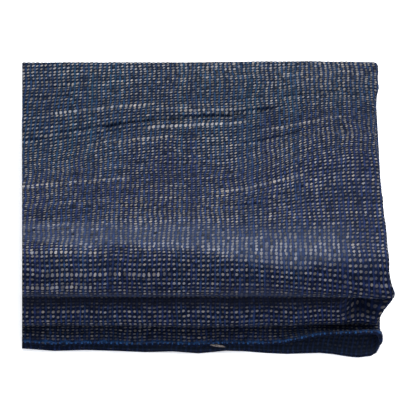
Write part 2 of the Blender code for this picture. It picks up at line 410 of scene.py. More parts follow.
def swept_face(radius, rows, columns):
    """One face of the ply as a grid. Along the path a point lies at its row's distance plus what the
    row was drawn; across, the column's distance runs along the upper ply, round the hairpin and back
    along the lower one. The point is the path's point plus its normal times the height in the section,
    then pulled, waved and swollen. Also gives each point's place in the weave, its share of the upper
    ply, and each row's first column, which is moved onto the cut plane."""
    lower_steps = LOWER_COLUMNS // (2 if len(columns) < len(column_place) else 1)
    lower_share = np.linspace(0.0, 1.0, lower_steps + 1)[1:] ** LOWER_CROWDING
    behind = rows - CREST
    drawn = drawn_rows(columns, behind)
    ends = smooth_share(rows / WAVER_FADE) * smooth_share((path_woven[-1] - rows) / WAVER_FADE)
    drawn += ends[:, None] * waver(rows[:, None], columns[None, :], ALONG_SEED)
    along = np.interp(rows[:, None] + drawn, path_woven, path_distance)
    along = np.concatenate([along, np.repeat(along[:, -1:], len(lower_share), axis=1)], axis=1)
    level = np.stack([np.interp(along, path_distance, path_table[:, part]) for part in range(4)])
    right = smooth_curve(
        along, [path_place(end.layer, end.share) for end in RIGHT_ENDS], [end.place for end in RIGHT_ENDS]
    )
    turn_length = np.pi * OUTER_RADIUS
    distance = np.broadcast_to(columns, (len(rows), len(columns)))
    flat = distance + waver(rows[:, None], columns[None, :], ACROSS_SEED)
    edge = right[:, : len(columns)]
    x = np.minimum(flat, edge) - np.maximum(flat - edge - turn_length, 0.0)
    angle = 0.5 * np.pi - np.pi * np.clip((flat - edge) / turn_length, 0.0, 1.0)
    pad = ((0, 0), (0, len(lower_share)))
    x = np.pad(x, pad, mode="edge")
    angle = np.pad(angle, pad, mode="edge")
    back = level[0] - level[3] * radius * np.sin(angle)
    up = level[1] + level[2] * radius * np.sin(angle)
    up[np.abs(up) < LEVEL_ENOUGH] = 0.0
    cut = CUT_PLACE + CUT_PER_DEPTH * back + CUT_PER_HEIGHT * up
    weave_across = np.pad(distance, pad, mode="edge")
    lower = slice(len(columns), None)
    reach = (x[:, lower] - cut[:, lower]) * lower_share
    x[:, lower] -= reach
    weave_across[:, lower] += reach
    half = len(columns) // 2
    step = columns[1] - columns[0]
    first = np.argmax(x[:, :half] > cut[:, :half] + PAST_THE_CUT * step, axis=1) - 1
    numbers = np.arange(len(rows))
    weave_across[numbers, first] += cut[numbers, first] - x[numbers, first]
    x[numbers, first] = cut[numbers, first]
    share = np.clip((x - cut) / (right - cut), 0.0, 1.0)
    upper = 0.5 * (1.0 + np.sin(angle))
    widening = LOOP_WIDENING * bell(along, LOOP_REACH)
    x = x + (radius + widening) * np.cos(angle)
    x, y, z = pulled(x, back, up, along, upper)
    edge_weight = bell(along, EDGE_REACH) * (1.0 - EDGE_EASED * upper)
    wave = smooth_curve(x, [point.across for point in EDGE_WAVE], [point.forward for point in EDGE_WAVE])
    y = y - edge_weight * wave
    z = swollen(x, y, z)
    x = x + (CUT_PER_DEPTH * (y - back) + CUT_PER_HEIGHT * (z - up)) * (1.0 - share)
    weave_along = np.broadcast_to(rows[:, None], x.shape)
    return Face(np.stack([x, y, z], axis=2), np.stack([weave_across, weave_along], axis=2), upper, first)


outer = swept_face(OUTER_RADIUS, row_place, column_place)
inner = swept_face(INNER_RADIUS, row_place[::2], column_place[::2])
print("outer grid", outer.points.shape[:2], "inner grid", inner.points.shape[:2])

# %% [markdown]
# ## Relief in the mesh
#
# Coarse hand-woven cotton isn't smooth. Each beige float stands up, the gap after it is a pit, and the
# navy warp between the dots is a low ridge. Beside the weave there are creases where the cloth was
# folded before, and a soft rumple. A displacement modifier would need a dense mesh everywhere; here the
# outer face is moved along its own normals, and only where it shows.

# %% Creases and weave relief
Crease = namedtuple("Crease", "across rows depth reach")
CREASES = [
    Crease((-0.106, -0.080, -0.044), (50.4, 51.9, 52.4), 0.0012, 0.0010),
    Crease((-0.062, -0.020, 0.000, 0.019, 0.042), (52.3, 52.5, 53.0, 53.7, 54.3), 0.0021, 0.0012),
    Crease((-0.098, -0.086, -0.064), (66.0, 66.4, 66.6), 0.0011, 0.0010),
    Crease((-0.104, -0.090, -0.070), (62.4, 63.0, 63.6), 0.0011, 0.0010),
    Crease((-0.096, -0.080, -0.060), (30.0, 29.6, 29.5), 0.0008, 0.0010),
    Crease((-0.056, -0.036, -0.018), (19.0, 18.5, 18.5), 0.0010, 0.0010),
    Crease((-0.044, -0.020, 0.006), (37.4, 36.6, 36.5), 0.0009, 0.0010),
    Crease((0.012, 0.030, 0.054), (41.4, 42.0, 42.6), 0.0012, 0.0010),
    Crease((0.002, 0.026, 0.044, 0.064), (16.4, 17.4, 19.5, 22.2), 0.0011, 0.0011),
    Crease((0.036, 0.056, 0.082), (57.6, 58.6, 60.2), 0.0012, 0.0011),
    Crease((-0.110, -0.090, -0.066), (9.4, 9.6, 9.5), 0.0008, 0.0011),
]
CREASE_FADE = 0.010
DOT_RISE = 0.00034
WARP_RISE = 0.00014
DOT_LEAST = 0.75
DOT_SPREAD = 0.5
RELIEF_SEED = 3
BANK_SHARE = 0.20
BANK_WIDTH = 3.0
RUMPLE = 0.00008
RUMPLE_WAVES = 9
RUMPLE_LENGTHS = (0.006, 0.026)
RUMPLE_MIDDLE = 0.016
RUMPLE_LEAN = 0.35
RUMPLE_SEED = 11
SHORTEST_NORMAL = 1e-12


def crease_relief(across, behind):
    """Troughs with low banks: minus the depth times a bell curve of the distance along the cloth from
    the crease's line, plus a fifth of it in a bell three times as wide, faded at its two ends."""
    relief = np.zeros(across.shape)
    for crease in CREASES:
        inside = np.clip(across, crease.across[0], crease.across[-1])
        line = ROW_PITCH * smooth_curve(inside, crease.across, crease.rows)
        ends = smooth_share((across - crease.across[0]) / CREASE_FADE)
        ends = ends * smooth_share((crease.across[-1] - across) / CREASE_FADE)
        bank = BANK_SHARE * bell(behind - line, BANK_WIDTH * crease.reach)
        trough = bell(behind - line, crease.reach) - bank
        relief -= crease.depth * ends * trough
    return relief


def rumple_relief(across, behind):
    """Seeded low waves, longer across than along: a sum of sines of both distances."""
    draw = np.random.default_rng(RUMPLE_SEED)
    relief = np.zeros(across.shape)
    for _ in range(RUMPLE_WAVES):
        length = draw.uniform(*RUMPLE_LENGTHS)
        lean = draw.uniform(-RUMPLE_LEAN, RUMPLE_LEAN)
        phase = draw.uniform(0.0, TURN)
        relief += length * np.sin(TURN * (behind + lean * across) / length + phase)
    return RUMPLE * relief / RUMPLE_MIDDLE


def weave_relief(across, along):
    """Dots, pits and warp ridges: with a and b the cosines of the place in a dot's cell across and
    along, the dot is half of one plus a times half of one plus b, and the ridge half of one less a."""
    draw = np.random.default_rng(RELIEF_SEED)
    cosine_across = np.cos(TURN * across / COLUMN_PITCH)
    cosine_along = np.cos(TURN * along / ROW_PITCH)
    dot = 0.25 * (1.0 + cosine_across) * (1.0 + cosine_along)
    ridge = 0.5 * (1.0 - cosine_across)
    uneven = DOT_LEAST + DOT_SPREAD * draw.random(dot.shape)
    return DOT_RISE * dot * uneven + WARP_RISE * ridge


def grid_normals(points):
    """Unit normals of a grid: the cross product of its differences along the columns and the rows."""
    normals = np.cross(np.gradient(points, axis=1), np.gradient(points, axis=0))
    length = np.linalg.norm(normals, axis=2, keepdims=True)
    return normals / np.maximum(length, SHORTEST_NORMAL)


weave_across = outer.weave[..., 0]
weave_along = outer.weave[..., 1]
shown_weight = np.where(row_shown, 1.0, 0.0)[:, None] * outer.upper
relief = weave_relief(weave_across, weave_along) + rumple_relief(weave_across, weave_along)
relief = relief + crease_relief(weave_across, weave_along - CREST)
raised = outer.points + grid_normals(outer.points) * (relief * shown_weight)[..., None]
print("relief, mm:", round(1000 * relief.min(), 2), "to", round(1000 * relief.max(), 2))

# %% [markdown]
# ## One closed sheet
#
# The outer face is fine and the inner face has every second row and column. Both are grids whose left
# border steps along the cut plane, so each row starts at its own first column. Their four borders are
# joined by narrow strips: the cut ends at the left and the selvedges at the front and inside. Every
# shape is found from arrays of point numbers, and the whole cloth is one closed mesh.


# %% Faces of the sheet
def kept_numbers(face, start):
    """Point numbers of a face's grid from start on, and minus one left of each row's first column."""
    rows, columns = face.points.shape[:2]
    kept = np.arange(columns)[None, :] >= face.first[:, None]
    numbers = np.full((rows, columns), -1)
    numbers[kept] = start + np.arange(int(kept.sum()))
    return numbers


def grid_polygons(numbers, first):
    """Quads where all four corners are kept, and a triangle wherever the border steps one column."""
    corners = np.stack([numbers[:-1, :-1], numbers[:-1, 1:], numbers[1:, 1:], numbers[1:, :-1]], axis=2)
    quads = corners.reshape(-1, 4)
    quads = quads[(quads >= 0).all(axis=1)]
    step = np.diff(first)
    if np.abs(step).max() > 1:
        raise ValueError("the cut plane crosses more than one column between two rows")
    left = np.nonzero(step == -1)[0]
    right = np.nonzero(step == 1)[0]
    earlier = np.stack([numbers[left, first[left]], numbers[left + 1, first[left]]], axis=1)
    earlier = np.column_stack([earlier, numbers[left + 1, first[left + 1]]])
    later = np.stack([numbers[right, first[right]], numbers[right, first[right + 1]]], axis=1)
    later = np.column_stack([later, numbers[right + 1, first[right + 1]]])
    return quads.tolist() + earlier.tolist() + later.tolist()


def border_polygons(fine, coarse):
    """Polygons between a fine and a coarse border line that share their ends: each coarse step takes
    two fine steps, and the first one whatever is left over."""
    spare = len(fine) - 1 - 2 * (len(coarse) - 1)
    starts = np.concatenate([[0], 2 * np.arange(1, len(coarse)) + spare])
    return [
        fine[start : end + 1].tolist() + [int(coarse[number + 1]), int(coarse[number])]
        for number, (start, end) in enumerate(zip(starts[:-1], starts[1:]))
    ]


def sheet_borders(numbers, first):
    """The four border lines of a grid: cut end above, cut end below, front selvedge, inner selvedge."""
    rows = np.arange(len(first))
    return (
        numbers[rows, first],
        numbers[:, -1],
        numbers[0, first[0] :],
        numbers[-1, first[-1] :],
    )


outer_numbers = kept_numbers(outer, 0)
outer_count = int((outer_numbers >= 0).sum())
inner_numbers = kept_numbers(inner, outer_count)
point_count = outer_count + int((inner_numbers >= 0).sum())
outer_polygons = grid_polygons(outer_numbers, outer.first)
inner_polygons = grid_polygons(inner_numbers, inner.first)
strips = [
    border_polygons(fine, coarse)
    for fine, coarse in zip(
        sheet_borders(outer_numbers, outer.first), sheet_borders(inner_numbers, inner.first)
    )
]
polygons = outer_polygons + inner_polygons + [polygon for strip in strips for polygon in strip]
triangles = sum(len(polygon) - 2 for polygon in polygons)
print("sheet:", point_count, "points,", len(polygons), "polygons,", triangles, "triangles")

# %% [markdown]
# ## Two maps on the sheet
#
# The weave needs a map in real metres, so a column is always 2.5 mm wide however the sheet is bent. We
# could read object coordinates instead, but then the yarns would cut through folds. A second map gives
# each spot of the sheet its own place in a square, with the faces that show drawn large.

# %% Coordinates for each corner
SHOWN_WEIGHT = 1.0
HIDDEN_WEIGHT = 0.06
LOWER_WEIGHT = 0.30
OUTER_SHARE = (0.12, 0.995)
INNER_SHARE = (0.03, 0.11)
STRIP_SHARES = [(0.002, 0.005), (0.008, 0.011), (0.014, 0.017), (0.020, 0.023)]
STRIP_MARGIN = 0.005
LOWER_WIDTH = 0.19


def running_share(steps, weights):
    """Adds up weighted steps from 0 to 1."""
    total = np.concatenate([[0.0], np.cumsum(steps * weights)])
    return total / total[-1]


def corner_values(values_by_point, shape_polygons):
    """A value for each corner of the polygons, read from its point."""
    return values_by_point[np.concatenate([np.asarray(polygon) for polygon in shape_polygons])]


def sheet_map(face, across_share, along_share, low, high):
    """The square map of one face: across by the column's share, along by the row's between two
    heights. A first column lies at the share that its place in the weave gives."""
    rows, columns = face.points.shape[:2]
    across = np.tile(across_share, (rows, 1))
    numbers = np.arange(rows)
    whole = np.clip((face.weave[numbers, face.first, 0] - face.weave[0, 0, 0]), 0.0, None)
    step = face.weave[0, 1, 0] - face.weave[0, 0, 0]
    across[numbers, face.first] = across_share[1] * whole / step
    along = np.tile((low + (high - low) * along_share)[:, None], (1, columns))
    return np.stack([across, along], axis=2)


row_step = np.diff(row_place)
row_weight = np.where(row_shown[1:] | row_shown[:-1], SHOWN_WEIGHT, HIDDEN_WEIGHT)
row_share = running_share(row_step, row_weight)
lower_step = np.full(LOWER_COLUMNS, LOWER_WIDTH / LOWER_COLUMNS)
column_step = np.concatenate([np.diff(column_place), lower_step])
is_upper = np.arange(len(column_step)) < len(column_place) - 1
column_weight = np.where(is_upper, SHOWN_WEIGHT, LOWER_WEIGHT)
column_share = running_share(column_step, column_weight)
outer_map = sheet_map(outer, column_share, row_share, *OUTER_SHARE)
inner_map = sheet_map(inner, column_share[::2], row_share[::2], *INNER_SHARE)

map_by_point = np.zeros((point_count, 2))
weave_by_point = np.zeros((point_count, 2))
place_by_point = np.zeros((point_count, 3))
for face, numbers, values, square in (
    (outer, outer_numbers, raised, outer_map),
    (inner, inner_numbers, inner.points, inner_map),
):
    kept = numbers >= 0
    place_by_point[numbers[kept]] = values[kept]
    weave_by_point[numbers[kept]] = face.weave[kept]
    map_by_point[numbers[kept]] = square[kept]

STRIP_SHIFTS = [(-PLY, 0.0), (PLY, 0.0), (0.0, -PLY), (0.0, PLY)]
face_map = [corner_values(map_by_point, outer_polygons), corner_values(map_by_point, inner_polygons)]
face_weave = [corner_values(weave_by_point, outer_polygons), corner_values(weave_by_point, inner_polygons)]
for strip, shift, (low, high) in zip(strips, STRIP_SHIFTS, STRIP_SHARES):
    corners = np.concatenate([np.asarray(polygon) for polygon in strip])
    is_inner = corners >= outer_count
    along_strip = map_by_point[corners, 0] if shift[0] == 0.0 else map_by_point[corners, 1]
    low_side, high_side = along_strip[~is_inner].min(), along_strip[~is_inner].max()
    if shift[0] != 0.0:
        inner_low, inner_high = along_strip[is_inner].min(), along_strip[is_inner].max()
        rescaled = low_side + (along_strip - inner_low) * (high_side - low_side) / (inner_high - inner_low)
        along_strip = np.where(is_inner, rescaled, along_strip)
    inner_width = 1.0 - 2.0 * STRIP_MARGIN
    along_strip = STRIP_MARGIN + inner_width * (along_strip - low_side) / (high_side - low_side)
    face_map.append(np.stack([along_strip, np.where(is_inner, high, low)], axis=1))
    face_weave.append(weave_by_point[corners] + is_inner[:, None] * np.array(shift))
corner_map = np.concatenate(face_map)
corner_weave = np.concatenate(face_weave)
print("maps: square from", corner_map.min(axis=0).round(3), "to", corner_map.max(axis=0).round(3))

# %% [markdown]
# ## The cloth's mesh
#
# The solid's box and the sheet's own box share their middle, so the sheet is moved there. Points, faces
# and both maps go into one mesh; the faces are turned outward and shaded smooth, apart from the sharp
# rims of the ply.

# %% Make the cloth
SHARP_RIM = np.radians(55.0)


def linked(name, data):
    """An object of this name with the data, linked to the scene."""
    thing = bpy.data.objects.new(name, data)
    bpy.context.scene.collection.objects.link(thing)
    return thing


def turn_outward(mesh):
    """Turns the faces of a closed mesh outward and shades them smooth."""
    shape = bmesh.new()
    shape.from_mesh(mesh)
    bmesh.ops.recalc_face_normals(shape, faces=shape.faces)
    shape.to_mesh(mesh)
    shape.free()
    mesh.shade_smooth()


def make_cloth():
    """Builds the closed sheet on its two maps, in its place on the solid."""
    both = np.concatenate([outer.points[outer_numbers >= 0], inner.points[inner_numbers >= 0]])
    seat = 0.5 * (both.min(axis=0) + both.max(axis=0))
    solid_low, solid_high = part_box("cloth")
    move = 0.5 * (np.array(solid_low) + np.array(solid_high)) - seat
    move[2] = 0.0
    mesh = bpy.data.meshes.new("folded_cloth")
    mesh.from_pydata((place_by_point + move).tolist(), [], polygons)
    for name, values in (("weave", corner_weave), ("OFBake", corner_map)):
        layer = mesh.uv_layers.new(name=name)
        layer.data.foreach_set("uv", values.astype(np.float32).ravel())
    mesh.uv_layers["weave"].active = True
    mesh.uv_layers["weave"].active_render = True
    turn_outward(mesh)
    mesh.set_sharp_from_angle(angle=SHARP_RIM)
    inside = (np.arange(len(polygons)) >= len(outer_polygons)).astype(np.int32)
    inside[len(outer_polygons) + len(inner_polygons) :] = 0
    mesh.polygons.foreach_set("material_index", inside)
    return linked("folded_cloth", mesh), move


cloth, move = make_cloth()
print("cloth moved by, mm:", np.round(1000 * move, 2))
print("cloth size, mm:", [round(1000 * side, 1) for side in cloth.dimensions])

# %% [markdown]
# ## Selvedge loops
#
# At each selvedge the navy weft turns round the last warp yarn and goes back, which leaves a row of
# small bright loops along the edge. They could be bump, but they stand out from the rim and make the
# edge knobbly, so each is a short bent tube on top of the rim. One grid holds them all: loops by steps
# by sides.

# %% Loops along the open edge
LOOP_PITCH = 0.00262
LOOP_TUBE = 0.00040
LOOP_STEPS = 10
LOOP_SIDES = 6
LOOP_LEAN = 0.0007
LOOP_END = 0.0880
LOOP_FROM = np.radians(32.0)
LOOP_TO = np.radians(128.0)
LOOP_REACH_OUT = 1.6
LOOP_WIDE = 1.25
LOOP_SHIFT = 0.22
LOOP_REACHES = (0.4, 1.6)
LOOP_CLEARANCES = (0.1, 0.5)
LOOP_LEANS = (-1.0, 1.4)
LOOP_FATNESS = (0.55, 1.35)
LOOP_FAT_MEAN = 0.55
LOOP_FAT_SWING = 0.45
LOOP_FAT_TURN = 0.6
LOOP_SEED = 21


def edge_line(face, values, places):
    """Reads values of a face's front selvedge at places across the cloth."""
    across = face.weave[0, face.first[0] :, 0]
    return np.stack([np.interp(places, across, values[:, part]) for part in range(3)], axis=1)


def unit(vectors):
    """Vectors divided by their lengths."""
    return vectors / np.linalg.norm(vectors, axis=-1, keepdims=True)


def selvedge_loops():
    """Tubes bent over the rim of the ply. A tube's middle line is the rim's middle plus the forward
    direction times the reach times the cosine of the angle, plus the ply's normal times half the
    thickness times its sine, plus a sideways lean that grows with the angle. A ring of sides is
    carried along it."""
    draw = np.random.default_rng(LOOP_SEED)
    places = np.arange(outer.weave[0, outer.first[0], 0] + 0.5 * LOOP_PITCH, LOOP_END, LOOP_PITCH)
    count = len(places)
    places = places + LOOP_PITCH * draw.uniform(-LOOP_SHIFT, LOOP_SHIFT, count)
    top_rim = edge_line(outer, raised[0, outer.first[0] :], places)
    low_rim = edge_line(inner, inner.points[0, inner.first[0] :], places)
    ahead = edge_line(outer, (outer.points[0] - outer.points[2])[outer.first[0] :], places)
    through = unit(top_rim - low_rim)
    forward = unit(ahead - np.sum(ahead * through, axis=1, keepdims=True) * through)
    side = np.cross(forward, through)
    middle = 0.5 * (top_rim + low_rim)
    angle = np.linspace(LOOP_FROM, LOOP_TO, LOOP_STEPS)
    reach = LOOP_TUBE * draw.uniform(*LOOP_REACHES, count)
    thick = 0.5 * PLY + LOOP_TUBE * draw.uniform(*LOOP_CLEARANCES, count)
    lean = LOOP_LEAN * draw.uniform(*LOOP_LEANS, count)
    cosine = np.cos(angle)[None, :, None]
    sine = np.sin(angle)[None, :, None]
    line = middle[:, None] + reach[:, None, None] * LOOP_REACH_OUT * cosine * forward[:, None]
    line = line + thick[:, None, None] * sine * through[:, None]
    line = line + lean[:, None, None] * (angle / np.pi)[None, :, None] * side[:, None]
    outward = cosine * forward[:, None] + sine * through[:, None]
    turn = np.linspace(0.0, TURN, LOOP_SIDES, endpoint=False)
    fat = LOOP_TUBE * draw.uniform(*LOOP_FATNESS, count)
    taper = LOOP_FAT_MEAN + LOOP_FAT_SWING * np.cos(LOOP_FAT_TURN * angle)
    fat = fat[:, None] * taper[None, :]
    ring = np.cos(turn)[None, None, :, None] * outward[:, :, None]
    ring = ring + LOOP_WIDE * np.sin(turn)[None, None, :, None] * side[:, None, None]
    return line[:, :, None] + fat[:, :, None, None] * ring


def tube_faces(count, steps, sides):
    """Quads of many equal tubes and their two end caps, from a grid of point numbers."""
    number = np.arange(count * steps * sides).reshape(count, steps, sides)
    turned = np.roll(number, -1, axis=2)
    quads = np.stack([number[:, :-1], turned[:, :-1], turned[:, 1:], number[:, 1:]], axis=3).reshape(-1, 4)
    caps = np.concatenate([number[:, 0, ::-1], number[:, -1]])
    return quads.tolist() + caps.tolist()


def mesh_piece(name, points, faces):
    """A smooth-shaded object at the origin from points and faces, with its normals turned outward."""
    mesh = bpy.data.meshes.new(name)
    mesh.from_pydata(points.reshape(-1, 3).tolist(), [], faces)
    turn_outward(mesh)
    return linked(name, mesh)


loop_points = selvedge_loops() + move
loop_points[..., 2] = np.maximum(loop_points[..., 2], 0.0)
loops = mesh_piece("selvedge_loops", loop_points, tube_faces(*loop_points.shape[:3]))
print("selvedge loops:", loop_points.shape[0])

# %% [markdown]
# ## A loose end of weft
#
# In the middle of the open edge a pale end of weft has come out of the selvedge and hangs over the dark
# rim. It is one bent tube, like a loop, laid along the rim and sinking away from it.

# %% The loose end
LOOSE_PLACES = (0.0006, 0.0092)
LOOSE_START = (0.0, -0.0004, -0.0009)
LOOSE_END = (0.0, -0.0011, -0.0022)
LOOSE_TUBE = 0.00065
LOOSE_STEPS = 14
LOOSE_TIP = 0.02
LOOSE_LOWEST = 1.1


def loose_tube():
    """A tube whose middle line is the rim's line plus an offset that passes from start to end, with a
    radius that is thickest in the middle: the tube's times the root of the sine of the share."""
    share = np.linspace(LOOSE_TIP, 1.0 - LOOSE_TIP, LOOSE_STEPS)
    places = LOOSE_PLACES[0] + (LOOSE_PLACES[1] - LOOSE_PLACES[0]) * share
    offset = np.array(LOOSE_START) + share[:, None] * (np.array(LOOSE_END) - np.array(LOOSE_START))
    line = edge_line(outer, raised[0, outer.first[0] :], places) + offset
    line[:, 2] = np.maximum(line[:, 2], LOOSE_LOWEST * LOOSE_TUBE)
    turn = np.linspace(0.0, TURN, LOOP_SIDES, endpoint=False)
    ring = np.stack([np.zeros(LOOP_SIDES), np.cos(turn), np.sin(turn)], axis=1)
    fat = LOOSE_TUBE * np.sqrt(np.sin(np.pi * share))
    return line[None, :, None] + fat[None, :, None, None] * ring[None, None]


loose_points = loose_tube() + move
loose_end = mesh_piece("loose_weft_end", loose_points, tube_faces(*loose_points.shape[:3]))
print("loose end, mm above the floor:", np.round(1000 * loose_points[0, :, 0, 2], 1)[[0, -1]])

# %% [markdown]
# ## Cotton fibre and weave as node groups
#
# A photograph of cloth would give colour for one place only. Instead one group makes the fuzz of spun
# cotton, and one makes the weave: it rounds the place on the weave map to the nearest dot, and the
# remainder says where in the cell a point lies. Random numbers for each dot, row and column make it
# hand-woven. Short tables add what stands out: rows of thick weft, dark warp columns, places where the
# dots are long and nearly merge, painted shade that hides the dots in the grooves and where the large
# roll turns under, and a painted shadow in the pocket at the right.


# %% Helpers for nodes
def put(tree, kind, inputs=None, **settings):
    """Adds a node, sets its settings, and links or fills its inputs."""
    node = tree.nodes.new(kind)
    for name, value in settings.items():
        setattr(node, name, value)
    for key, value in (inputs or {}).items():
        if isinstance(value, bpy.types.NodeSocket):
            tree.links.new(value, node.inputs[key])
        else:
            node.inputs[key].default_value = value
    return node


def calc(tree, operation, *values):
    """One Math node on sockets or numbers."""
    return put(tree, "ShaderNodeMath", dict(enumerate(values)), operation=operation).outputs[0]


def ramp(tree, value, low, high, start=0.0, end=1.0):
    """A smooth step of a value: start below low, end above high."""
    inputs = {"Value": value, "From Min": low, "From Max": high, "To Min": start, "To Max": end}
    return put(tree, "ShaderNodeMapRange", inputs, interpolation_type="SMOOTHSTEP").outputs["Result"]


def blend_colour(tree, share, first, second, mode="MIX"):
    """Mixes two colours by a share."""
    node = put(tree, "ShaderNodeMix", {0: share, 6: first, 7: second}, data_type="RGBA", blend_type=mode)
    return node.outputs[2]


def noise(tree, place, scale, detail):
    """The outputs of a Noise Texture on a place."""
    return put(tree, "ShaderNodeTexNoise", {"Vector": place, "Scale": scale, "Detail": detail}).outputs


def chance(tree, dimensions, socket, place):
    """The outputs of a White Noise Texture: one random value and one random colour for each place."""
    return put(tree, "ShaderNodeTexWhiteNoise", {socket: place}, noise_dimensions=dimensions).outputs


def channels(tree, colour):
    """The three numbers of a colour."""
    return put(tree, "ShaderNodeSeparateColor", {0: colour}).outputs


def lit(tree, colour, light):
    """A colour times one number."""
    grey = put(tree, "ShaderNodeCombineColor", {0: light, 1: light, 2: light}).outputs[0]
    return blend_colour(tree, 1.0, colour, grey, "MULTIPLY")


def strongest(tree, masks):
    """The largest of several masks."""
    total = 0.0
    for mask in masks:
        total = calc(tree, "MAXIMUM", mask, total)
    return total


def new_group(name, inputs, outputs):
    """An empty shader group with named sockets. Inputs are (name, kind, default)."""
    group = bpy.data.node_groups.new(name, "ShaderNodeTree")
    for label, kind, default in inputs:
        socket = group.interface.new_socket(name=label, in_out="INPUT", socket_type=kind)
        if default is not None:
            socket.default_value = default
    for label, kind in outputs:
        group.interface.new_socket(name=label, in_out="OUTPUT", socket_type=kind)
    start = group.nodes.new("NodeGroupInput")
    end = group.nodes.new("NodeGroupOutput")
    return group, start, end


FLOAT = "NodeSocketFloat"
VECTOR = "NodeSocketVector"
COLOUR = "NodeSocketColor"


# %% The fibre group
CLUMP_FINENESS = 0.23
FINE_SHARE = 0.6


def make_fibre_group():
    """Fuzz of spun cotton: fine noise stretched along the yarn, plus coarser clumps."""
    group, start, end = new_group(
        "cotton_fibre",
        [("Place", VECTOR, None), ("Stretch", VECTOR, (1.0, 1.0, 1.0)), ("Fineness", FLOAT, 2600.0)],
        [("Fuzz", FLOAT)],
    )
    place = start.outputs["Place"]
    fineness = start.outputs["Fineness"]
    sides = {0: place, 1: start.outputs["Stretch"]}
    stretched = put(group, "ShaderNodeVectorMath", sides, operation="MULTIPLY").outputs[0]
    fine = noise(group, stretched, fineness, 2.0)[0]
    clump = noise(group, place, calc(group, "MULTIPLY", fineness, CLUMP_FINENESS), 1.0)[0]
    clump = calc(group, "MULTIPLY", clump, 1.0 - FINE_SHARE)
    group.links.new(calc(group, "MULTIPLY_ADD", fine, FINE_SHARE, clump), end.inputs["Fuzz"])
    return group


fibre_group = make_fibre_group()

# %% Thick rows and dark columns, counted in dots from the crest and from the middle of the cloth
ThickRow = namedtuple("ThickRow", "row start end strength")
THICK_ROWS = [
    ThickRow(58, -34.0, -12.0, 0.9),
    ThickRow(56, -12.0, -5.0, 0.5),
    ThickRow(55, -6.0, 8.0, 0.8),
    ThickRow(50, -14.0, 9.0, 1.0),
    ThickRow(47, -26.0, -19.0, 0.6),
    ThickRow(46, -20.0, -7.0, 0.7),
    ThickRow(46, 12.0, 25.0, 0.8),
    ThickRow(47, 26.0, 31.0, 0.7),
    ThickRow(31, -40.0, -17.0, 0.9),
    ThickRow(24, 2.0, 20.0, 1.0),
    ThickRow(0, -38.0, -22.0, 0.7),
    ThickRow(-5, -34.0, -8.0, 0.5),
    ThickRow(-8, -38.0, -23.0, 1.0),
    ThickRow(-172, 27.0, 34.0, 0.30),
]
WeavePlace = namedtuple("WeavePlace", "column columns row rows strength")
MERGED_DOTS = [
    WeavePlace(27.0, 13.0, 67.0, 10.0, 0.9),
    WeavePlace(3.0, 16.0, 73.0, 8.0, 0.7),
    WeavePlace(-4.0, 18.0, 14.0, 6.0, 0.6),
    WeavePlace(16.0, 8.0, 36.0, 6.0, 0.4),
    WeavePlace(29.0, 6.0, 40.0, 6.0, 0.6),
    WeavePlace(-34.0, 8.0, 33.0, 4.0, 0.4),
]
# Painted shade: the dots fade and the yarns go a flat grey blue in the grooves between the rolls and where
# the large roll turns under.
PAINTED_SHADE_PLACES = [
    WeavePlace(0.0, 200.0, -167.0, 1.7, 0.85),
    WeavePlace(0.0, 200.0, -332.0, 1.9, 0.75),
    WeavePlace(-20.0, 60.0, -11.5, 1.8, 0.7),
    WeavePlace(12.0, 12.0, -11.0, 2.6, 0.9),
]
# Painted shadow: the pocket at the right end of the groove loses its dots and is darkened to the pits'
# colour.
POCKET_SHADOW_PLACES = [
    WeavePlace(31.2, 2.8, -170.3, 1.25, 0.8),
    WeavePlace(34.6, 2.2, -168.8, 1.2, 0.45),
]
DarkColumn = namedtuple("DarkColumn", "column strength")
DARK_COLUMNS = [
    DarkColumn(-35, 0.35),
    DarkColumn(-27, 0.3),
    DarkColumn(-25, 0.3),
    DarkColumn(-20, 0.3),
    DarkColumn(-3, 0.35),
    DarkColumn(7, 0.4),
    DarkColumn(9, 0.4),
    DarkColumn(12, 0.4),
    DarkColumn(19, 0.4),
    DarkColumn(28, 0.35),
    DarkColumn(32, 0.4),
    DarkColumn(34, 0.45),
]
# Painted shade: the pits' near-black stands for the shade in the gaps between the yarns.
PIT_SHADE_COLOUR = (0.0022, 0.0042, 0.0115, 1.0)
NAVY = (0.0125, 0.0215, 0.0720, 1.0)
TEAL = (0.0090, 0.0320, 0.0650, 1.0)
SELVEDGE_BLUE = (0.0100, 0.0400, 0.1150, 1.0)
# Painted sheen: a blue-grey veil over the dots and the yarns on the hump of the large roll.
HUMP_SHEEN_GREY = (0.114, 0.120, 0.142, 1.0)
HUMP_SHEEN_BLUE = (0.034, 0.050, 0.104, 1.0)
# Painted shade: the flat grey blue of the yarns in the grooves and where the large roll turns under.
PAINTED_SHADE_BLUE = (0.036, 0.040, 0.066, 1.0)
BEIGE = (0.168, 0.150, 0.132, 1.0)
GREY_BEIGE = (0.126, 0.127, 0.138, 1.0)


# %% Masks for the chosen rows, columns and places
ROW_FADE = 2.0
MATCH_WITHIN = 0.4


def picked(tree, value, chosen):
    """One where a whole number equals the chosen one, else zero."""
    return calc(tree, "COMPARE", value, float(chosen), MATCH_WITHIN)


def thick_row_mask(tree, row, column):
    """The strongest of the thick rows here: its row matched, and its ends faded over four dots each."""
    times = partial(calc, tree, "MULTIPLY")
    masks = []
    for thick in THICK_ROWS:
        begun = ramp(tree, column, thick.start - ROW_FADE, thick.start + ROW_FADE)
        not_ended = ramp(tree, column, thick.end - ROW_FADE, thick.end + ROW_FADE, 1.0, 0.0)
        masks.append(times(times(times(picked(tree, row, thick.row), thick.strength), begun), not_ended))
    return strongest(tree, masks)


